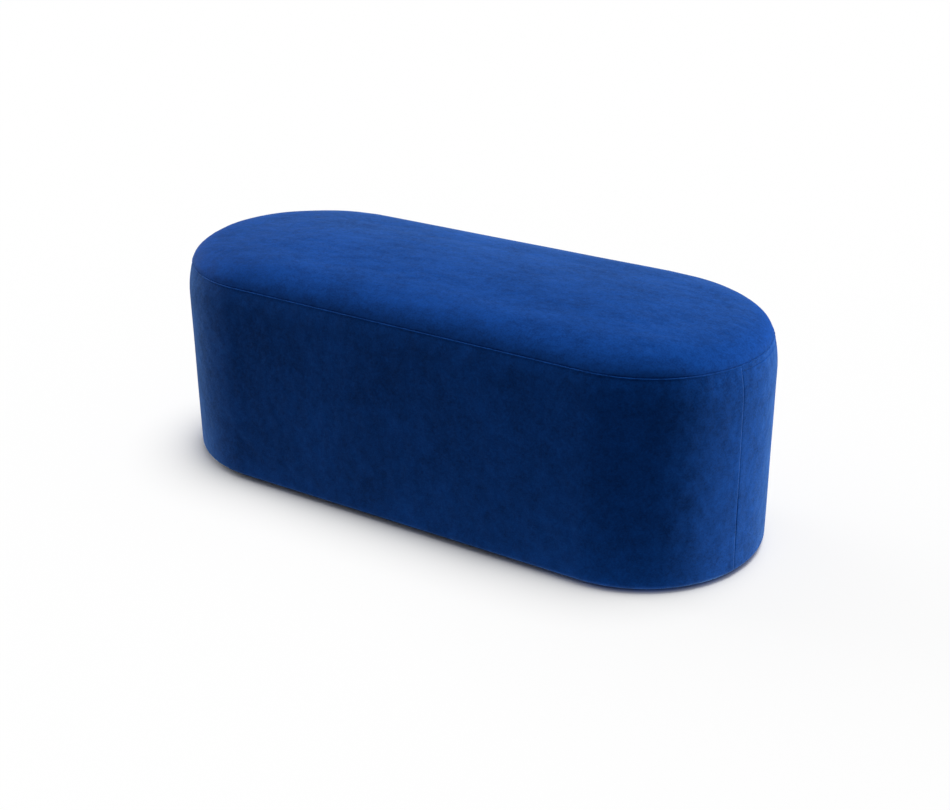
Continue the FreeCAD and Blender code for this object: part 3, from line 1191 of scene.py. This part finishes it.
    def _band_lift(self, station: Station, point: SectionPoint, along: float, seed: float) -> float:
        """How far the band stands off its plain section.

        Args:
            station: Place round the plan.
            point: Place on the section.
            along: Distance from the first upright seam.
            seed: Row of the noise.

        Returns:
            The lift, negative in a groove.
        """
        shoulder, side, roll, _ = self.section.band_lengths()
        side_share = 1 - smooth_step(shoulder + side, shoulder + side + roll, point.run)
        onward = self.plan.half_lap - along
        beside = min(along, onward)
        lift = -max(self.dip(point.run), self.upright_dip * self.dip(beside) * side_share)
        stitch = noise.noise((station.run * self.stitch_scale, seed, self.stitch_seed))
        fold = self.fold * bell(point.run - self.fold_at, self.fold_width)
        lift += fold * (1 + self.stitch_share * stitch)
        pressed = 1 - smooth_step(*self.press_span, onward)
        past = point.run - self.allowance
        ridge = smooth_step(0.0, self.ridge_start, point.run) * (1 - smooth_step(*self.ridge_edge, past))
        upright = self.upright_rise * (1 - smooth_step(*self.upright_edge, beside - self.allowance))
        lift += self.allowance_rise * max(ridge * pressed, upright) * side_share
        lift -= self.press * bell(past - self.press_width, self.press_width) * pressed
        gather = 1 + self.curve_gather * smooth_step(*self.curve_span, 1 - abs(station.facing.y))
        lift += self.ruffle(station.run, point.run, seed) * gather
        upright_ruffle = self.ruffle(point.run, beside, seed + self.upright_seed)
        lift += self.upright_gather * upright_ruffle * side_share
        uneven = smooth_step(*self.uneven_start, point.run) * side_share
        return lift + self.swell(station.at(point.reach, point.height), seed) * uneven

    def build(self) -> None:
        """Makes and dresses the three panels."""
        seat = self.seat_panel()
        self.dress(seat, self.seat_finish.material(), Slot.VELVET, "top_cover")
        reach = self.section.seat_length()
        flat = (2 * reach, 2 * (self.plan.core + reach))
        area = self.plan.area(reach)
        side_pile = self.side_finish.material()
        flat = (sum(self.section.band_lengths()), self.plan.half_lap)
        for half in Half:
            band = self.side_panel(half)
            self.dress(band, side_pile, Slot.VELVET, f"{half.value}_band")


@dataclass
class Padding(Bench):
    """Foam and wadding under the velvet."""

    foam_finish: FibreFinish = FibreFinish(
        "cut_foam", (0.80, 0.72, 0.52, 1), (0.66, 0.57, 0.38, 1), coarse=40.0, fine=700.0, relief=0.0008
    )
    wadding_finish: FibreFinish = FibreFinish(
        "wadding_fibre", (0.88, 0.88, 0.86, 1), (0.72, 0.72, 0.70, 1), coarse=60.0, fine=420.0, relief=0.0015
    )
    foam_fill: float = 0.9
    wadding_fill: float = 0.5
    cover_gap: float = 0.0024
    wadding: float = 0.008
    glue_line: float = 0.0003
    foam_bottom: float = 0.3779
    bottom_reaches: Triple = (0.0, 0.12, 0.2)
    shoulder_split: float = 0.327
    side_gap: float = 0.004
    side_foam: float = 0.010
    side_middle: float = 0.2
    hem_clearance: float = 0.0004
    least_ledge: float = 0.0005
    end_gap: float = 0.00015
    seam_room: float = 0.0085
    seam_reach: float = 0.007
    cut_marks: float = 0.0003
    mark_scale: float = 40.0
    mark_span: Span = (0.0, 0.02)
    # Spacing of the points: first, growth and widest, or counts
    spacing: float = 0.012
    seat_rows: Triple = (0.004, 1.2, 0.014)
    side_columns: Triple = (0.0015, 1.3, 0.012)
    side_rows: int = 4
    curve_rows: int = 6

    @property
    def side_inner(self) -> float:
        """Reach of the side foam's inner face."""
        return self.section.half_depth - self.side_gap - self.side_foam

    def relief(self, across: float) -> float:
        """Room cut out of the padding for a seam's tucked edges, at a distance from the seam."""
        return self.seam_room * bell(across, self.seam_reach)

    def _ring(self, name: str, rows: list[Span]) -> bpy.types.Object:
        """Takes an outline round the whole plan.

        Args:
            name: The piece's name.
            rows: The outline's reaches and heights.

        Returns:
            The closed piece.
        """
        stations = self.plan.lap_stations(self.plan.radius, self.spacing)

        def place(column: int, row: int) -> Vector:
            """Place of a row's point, with slight marks of the cutter.

            Args:
                column: Number of the station.
                row: Number of the outline's point.

            Returns:
                The place.
            """
            station = stations[column % (len(stations) - 1)]
            reach, height = rows[row]
            point = station.at(reach, height)
            mark = self.cut_marks * abs(noise.noise(point * self.mark_scale))
            return self.plan.settled(point - station.facing * mark * smooth_step(*self.mark_span, reach))

        return self.wrapped(name, len(stations), len(rows), place)

    def _seat_line(self, inset: float) -> list[Span]:
        """The seat's section inside the cover, from the seam's height to the middle.

        Args:
            inset: Distance inside the cover.

        Returns:
            Its reaches and heights.
        """
        line = []
        for run in graded(self.section.seat_length(), *self.seat_rows):
            reach, height = self.section.seat_point(run).lifted(-inset)
            line.append((max(reach - self.relief(run), 0.0), max(height, self.section.seam[1])))
        line[-1] = (0.0, self.section.height - inset)
        return line

    def seat_foam(self) -> bpy.types.Object:
        """Models the crowned seat foam, with a lip that the wadding stands on.

        Returns:
            The foam.
        """
        rows = [(reach, self.foam_bottom) for reach in self.bottom_reaches]
        lip = self.section.band_lengths()[0] * self.shoulder_split
        for step in range(self.curve_rows, -1, -1):
            point = self.section.band_point(lip * step / self.curve_rows)
            reach = point.lifted(-self.cover_gap)[0] - self.relief(point.run)
            rows.append((reach, max(point.height, self.foam_bottom)))
        inset = self.cover_gap + self.wadding + self.glue_line
        return self._ring("seat_foam_pad", rows + self._seat_line(inset))

    def seat_wadding(self) -> bpy.types.Object:
        """Models the soft layer between the foam and the velvet.

        Returns:
            The wadding.
        """
        outside = self._seat_line(self.cover_gap)
        inside = self._seat_line(self.cover_gap + self.wadding)
        return self._ring("seat_wadding_layer", outside + inside[::-1] + outside[:1])

    def _side_outline(self) -> list[Span]:
        """The side foam's section: down its inner face, round the roll, and up its outer face.

        Returns:
            Its reaches and heights, the last one on the first.
        """
        section, gap, inner = self.section, self.side_gap, self.side_inner
        shoulder, side, roll, _ = section.band_lengths()
        heights = (self.foam_bottom, self.side_middle, section.floor_gap + gap + self.hem_clearance)
        outline = [(inner, height) for height in heights]
        for step in range(1, self.curve_rows + 1):
            point = section.band_point(shoulder + side + roll * (1 - step / self.curve_rows)).lifted(-gap)
            if point[0] > inner + self.least_ledge:
                outline.append(point)
        low = section.floor_gap + section.bottom_roll
        for step in range(1, self.side_rows + 1):
            outline.append((section.half_depth - gap, low + side * step / self.side_rows))
        for step in range(1, self.curve_rows + 1):
            point = section.band_point(shoulder * (1 - (1 - self.shoulder_split) * step / self.curve_rows))
            outline.append((point.lifted(-gap)[0], min(point.height, self.foam_bottom)))
        return outline + outline[:1]

    def side_pad(self, half: Half) -> bpy.types.Object:
        """Models the foam round one half of the side.

        Args:
            half: The half of the side.

        Returns:
            The pad.
        """
        seam = -self.plan.seam_angle * self.plan.radius
        lengths = (seam - self.end_gap, self.plan.half_lap - seam - self.end_gap)
        before, after = (graded(length, *self.side_columns) for length in lengths)
        runs = [seam - away for away in reversed(before)] + [seam + away for away in after[1:]]
        stations = [self.plan.station(run, self.plan.radius, 0.0) for run in runs]
        rows = self._side_outline()

        def place(column: int, row: int) -> Vector:
            """Place of a row's point at a station, cut back at the upright seam."""
            reach, height = rows[row]
            return stations[column].at(max(self.side_inner, reach - self.relief(runs[column] - seam)), height)

        piece = self.wrapped(f"{half.value}_side_pad", len(stations), len(rows), place)
        with self.editing(piece):
            self.select_open_edges()
            bpy.ops.mesh.edge_face_add()
            bpy.ops.mesh.select_all(action="SELECT")
            bpy.ops.mesh.normals_make_consistent(inside=False)
        bpy.ops.object.shade_smooth_by_angle(angle=SMOOTH_ANGLE)
        self.turn(piece, half)
        return piece

    def build(self) -> None:
        """Makes and dresses the padding."""
        foam = self.foam_finish.material()
        seat = self.seat_foam()
        self.dress(seat, foam, Slot.FOAM, "seat_foam")
        wadding = self.seat_wadding()
        self.dress(wadding, self.wadding_finish.material(), Slot.WADDING, "seat_wadding")
        for half in Half:
            pad = self.side_pad(half)
            self.dress(pad, foam, Slot.FOAM, f"{half.value}_side_foam")


@dataclass
class Suspension(Bench):
    """Webbing straps and the felt that lies on them."""

    strap_finish: WebbingFinish = WebbingFinish()
    felt_finish: FibreFinish = FibreFinish(
        "needle_felt", (0.58, 0.56, 0.52, 1), (0.38, 0.36, 0.33, 1), coarse=90.0, fine=800.0, relief=0.0005
    )
    strap_count: int = 10
    strap_columns: int = 8
    strap_rows: int = 48
    selvedge: float = 0.0006
    selvedge_steps: int = 2
    felt_spacing: float = 0.012
    felt_rows: int = 16

    def strap(self, node: str) -> bpy.types.Object:
        """Models one taut strap with rounded selvedges.

        Args:
            node: The strap's solid.

        Returns:
            The strap.
        """
        low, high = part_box(node)
        size, middle = high - low, (high + low) / 2
        piece = self.cut(node + "_weave", self.strap_columns, self.strap_rows)
        piece.data.transform(Matrix.Diagonal((size.x, size.y, 1, 1)))
        piece.data.transform(Matrix.Translation((middle.x, middle.y, high.z)))
        self.thicken(piece, size.z)
        rounding = piece.modifiers.new("selvedge", "BEVEL")
        rounding.width = self.selvedge
        rounding.segments = self.selvedge_steps
        rounding.limit_method = "ANGLE"
        bpy.ops.object.modifier_apply(modifier=rounding.name)
        bpy.ops.object.shade_smooth_by_angle(angle=SMOOTH_ANGLE)
        return piece

    def build(self) -> None:
        """Makes and dresses the straps and the felt."""
        weave = self.strap_finish.material()
        for number in range(1, self.strap_count + 1):
            node = f"webbing_strap_{number:02d}"
            self.dress(self.strap(node), weave, Slot.WEBBING, node)
        node = "platform_cloth"
        reach = self.reach_of(node)
        runs = [reach * row / self.felt_rows for row in range(self.felt_rows + 1)]
        felt = self.pill_cloth("platform_felt", node, self.felt_spacing, runs, lambda station, run: 0.0)
        self.dress(felt, self.felt_finish.material(), Slot.FELT, node)
        self.declare_pill(felt, node, held="laid", rests_on="webbing_strap_05")


@dataclass
class Underside(Bench):
    """The dust cover stapled under the base, which hangs a little in the middle."""

    finish: FibreFinish = FibreFinish(
        "dust_cloth_fibre",
        (0.030, 0.030, 0.033, 1),
        (0.012, 0.012, 0.013, 1),
        coarse=120.0,
        fine=900.0,
        relief=0.0003,
    )
    spacing: float = 0.008
    rows: Triple = (0.002, 1.3, 0.012)
    sag: float = 0.0016
    sag_span: Span = (0.075, 0.16)
    wrinkle: float = 0.0004
    wrinkle_scale: float = 22.0
    wrinkle_seed: float = 2.0
    wrinkle_reach: float = 0.12

    def drop(self, station: Station, run: float) -> float:
        """How far the cloth hangs down.

        Args:
            station: Place round the plan.
            run: Distance from the edge.

        Returns:
            The drop.
        """
        inside = smooth_step(*self.sag_span, run)
        wave = noise.noise((station.run * self.wrinkle_scale, self.wrinkle_seed, 0.0))
        fold = wave * inside * math.exp(-run / self.wrinkle_reach)
        return self.sag * inside + self.wrinkle * abs(fold)

    def build(self) -> None:
        """Makes and dresses the dust cover."""
        node = "dust_cover"
        runs = graded(self.reach_of(node), *self.rows)
        cloth = self.pill_cloth("dust_cover_cloth", node, self.spacing, runs, self.drop)
        self.dress(cloth, self.finish.material(), Slot.DUST_CLOTH, node)
        self.declare_pill(cloth, node, held="stretched", rests_on="base_board")


@dataclass
class Carcass:
    """Finishes of the solids that are shown as they are: boards, ribs, posts, fasteners and glides."""

    plated: HardFinish = HardFinish(
        "plated_steel", (0.62, 0.62, 0.63, 1), (0.45, 0.44, 0.42, 1), metallic=1.0, roughness=(0.28, 0.50)
    )
    moulded: HardFinish = HardFinish(
        "moulded_plastic",
        (0.022, 0.022, 0.023, 1),
        (0.06, 0.06, 0.06, 1),
        metallic=0.0,
        roughness=(0.42, 0.62),
    )
    flat_board: PlywoodFinish = PlywoodFinish("plywood_flat", (0.05, 0.05, 6.0), (0.25, 2.2, 1.0))
    rib_board: PlywoodFinish = PlywoodFinish("plywood_rib", (6.0, 0.05, 0.05), (1.0, 0.25, 2.2))
    skin_board: PlywoodFinish = PlywoodFinish("plywood_bendable", (0.6, 0.6, 0.05), (2.2, 2.2, 0.2))
    post_wood: PlywoodFinish = PlywoodFinish(
        "planed_softwood", (0.9, 0.9, 0.04), (1.4, 1.4, 0.12), (0.70, 0.52, 0.31, 1), (0.50, 0.32, 0.16, 1)
    )

    def build(self) -> None:
        """Puts a finish on each solid, by the first pattern that its name fits."""
        finishes = (
            (self.plated, ("*_screws", "*_staples")),
            (self.moulded, ("glide_*",)),
            (self.flat_board, ("base_board", "seat_ring")),
            (self.rib_board, ("cross_rib_*",)),
            (self.skin_board, ("*_skin",)),
            (self.post_wood, ("end_post_*",)),
        )
        bare = dict(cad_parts)
        for finish, patterns in finishes:
            material = finish.material()
            for name in [name for name in bare if any(fnmatch(name, pattern) for pattern in patterns)]:
                node = bare.pop(name)
                node.data.materials.clear()
                node.data.materials.append(material)
                LOG.info("%s: %s", name, material.name)


@dataclass(frozen=True)
class Lamp:
    """Broad soft lamp far away: its light on a surface that faces it, its breadth and the way to it."""

    name: str
    strength: float
    breadth: float
    way: Triple

    def hang(self) -> bpy.types.Object:
        """Hangs the lamp.

        Returns:
            The lamp.
        """
        data = bpy.data.lights.new(self.name, "SUN")
        data.energy = self.strength
        data.angle = self.breadth
        lamp = bpy.data.objects.new(self.name, data)
        bpy.context.scene.collection.objects.link(lamp)
        lamp.rotation_mode = "QUATERNION"
        lamp.rotation_quaternion = Vector(self.way).to_track_quat("Z", "Y")
        return lamp


@dataclass
class Studio:
    """Pale floor, soft light and the camera."""

    plan: PillPlan = PillPlan()
    # Camera
    azimuth: float = math.radians(32.15)
    elevation: float = math.radians(25.20)
    distance: float = 2.7852
    aim_height: float = 0.22206
    aside: float = 0.01866
    below: float = -0.05894
    roll: float = -0.00746
    focal_px: float = 1468.1
    image_width: float = 950.0
    sensor: float = 36.0
    # Light
    ambient: float = 0.072
    key: Lamp = Lamp("key", 2.55, math.radians(26), (0.12, 0.18, 1.0))
    fill: Lamp = Lamp("fill", 5.25, math.radians(18), (0.775, 0.62, 0.062))
    rim: Lamp = Lamp("rim", 4.1, math.radians(50), (-1.0, 0.08, 0.12))
    # Floor, its shade faded into white by a painted mask, and its painted glow
    floor_size: float = 60.0
    floor_paint: Colour = (0.88, 0.88, 0.88, 1)
    floor_dull: Colour = (0.22, 0.22, 0.23, 1)
    shade_start: float = 0.0040
    shade_fade: float = 0.042
    right_span: Span = (0.18, 0.48)
    right_start: float = 0.0120
    right_fade: float = 0.0168
    right_share: float = 0.66
    right_tail: float = 0.25
    # Painted glow of the floor beside the bench: how much more at the right end, where it starts and how far
    # it reaches
    right_glow: float = 0.6
    glow_start: float = 0.006
    glow_reach: float = 0.05

    def camera(self) -> None:
        """Stands the camera where the bench is seen from."""
        level = Vector((math.cos(self.azimuth), math.sin(self.azimuth), 0))
        ahead = Vector((math.sin(self.azimuth), -math.cos(self.azimuth), 0))
        back = ahead * math.cos(self.elevation) + UP * math.sin(self.elevation)
        upright = back.cross(level)
        right = level * math.cos(self.roll) + upright * math.sin(self.roll)
        up = upright * math.cos(self.roll) - level * math.sin(self.roll)
        data = bpy.data.cameras.new("camera")
        data.sensor_width = self.sensor
        data.lens = self.focal_px * self.sensor / self.image_width
        data.dof.use_dof = False
        camera = bpy.data.objects.new("camera", data)
        bpy.context.scene.collection.objects.link(camera)
        aim = UP * self.aim_height + right * self.aside + up * self.below
        camera.location = aim + back * self.distance
        camera.rotation_mode = "QUATERNION"
        camera.rotation_quaternion = Matrix((right, up, back)).transposed().to_quaternion()
        bpy.context.scene.camera = camera

    def floor(self) -> bpy.types.Object:
        """Lays the pale floor.

        Returns:
            The floor.
        """
        bpy.ops.object.select_all(action="DESELECT")
        bpy.ops.mesh.primitive_plane_add(size=self.floor_size)
        floor = bpy.context.active_object
        floor.name = "studio_floor"
        floor.data.materials.append(self.paint())
        return floor

    def paint(self) -> bpy.types.Material:
        """Builds the floor's paint: its own shading close to the bench, faded into clear white away from it.

        The fade is painted shade: it sets how far the bench's shadow reaches, over a wider strip along the
        front than at the right end. Light from the floor onto the bench comes mostly from the strip beside
        it, which glows with painted white light to rays that aren't seen, while the rest is dull to them.

        Returns:
            The material.
        """
        graph = NodeGraph(bpy.data.materials.new("studio_floor_paint"))
        where = graph.add("ShaderNodeTexCoord", out="Object")
        along, across = (graph.add("ShaderNodeSeparateXYZ", {}, {0: where}, axis) for axis in "XY")
        # Painted shade: the floor's own shading is blended into white by its distance from the bench's
        # outline, and at the right end by a form of its own, so how far the shadow reaches is painted.
        past = (along.size() - self.plan.core).at_least(0.0)
        right = graph.remap(along, self.right_span)
        start = self.shade_start - self.plan.radius + self.right_start * right
        away = ((past * past + across * across).root() + start).at_least(0.0)
        front = away / (away + self.shade_fade)
        cube = away * away * away
        near = self.right_share * cube / (cube + self.right_fade**3)
        far = (1 - self.right_share) * away / (away + self.right_tail)
        clear = front + right * (near + far - front)
        # Painted light: to rays that aren't seen, the floor glows white in a strip beside the bench, more at
        # the right end; this glow, which is no lamp, lights the bench's lower sides.
        glow = away / (away + self.glow_start) * self.glow_reach / (away + self.glow_reach)
        glow = glow * (1 + self.right_glow * right)
        white = graph.add("ShaderNodeEmission", {}, {"Color": WHITE, "Strength": 1.0})
        lit = graph.add("ShaderNodeBsdfDiffuse", {}, {"Color": self.floor_paint})
        dull = graph.add("ShaderNodeBsdfDiffuse", {}, {"Color": self.floor_dull})
        unseen = graph.blend(glow, dull, white)
        return graph.finish(graph.blend(graph.shown(), unseen, graph.blend(clear, lit, white)))

    def light(self, floor: bpy.types.Object) -> None:
        """Sets a white surround that lights little, and hangs the lamps.

        The key is above, the fill is low behind the right end and kept off the floor, and the rim is low on
        the left.

        Args:
            floor: The floor.
        """
        surround = bpy.data.worlds.new("studio")
        bpy.context.scene.world = surround
        graph = NodeGraph(surround)
        white = graph.add("ShaderNodeBackground", {}, {"Color": WHITE, "Strength": 1.0})
        dim = graph.add("ShaderNodeBackground", {}, {"Color": WHITE, "Strength": self.ambient})
        graph.finish(graph.blend(graph.shown(), dim, white))
        self.key.hang()
        self.shield(self.fill.hang(), floor)
        self.rim.hang()

    @staticmethod
    def shield(lamp: bpy.types.Object, shaded: bpy.types.Object) -> None:
        """Keeps a lamp's light off one object.

        Args:
            lamp: The lamp.
            shaded: The object that it doesn't light.
        """
        lit = bpy.data.collections.new(lamp.name + "_reaches")
        lit.objects.link(shaded)
        lit.collection_objects[0].light_linking.link_state = "EXCLUDE"
        lamp.light_linking.receiver_collection = lit

    def build(self) -> None:
        """Sets up the studio."""
        bpy.context.scene.view_settings.view_transform = "Standard"
        self.camera()
        self.light(self.floor())


def main() -> None:
    """Builds the studio and the bench's dress."""
    logging.basicConfig(level=logging.INFO, format="%(name)s: %(message)s")
    for assembly in (Studio(), Padding(), VelvetCover(), Suspension(), Underside(), Carcass()):
        LOG.info("building: %s", type(assembly).__name__)
        assembly.build()


if __name__ == "__main__":
    main()
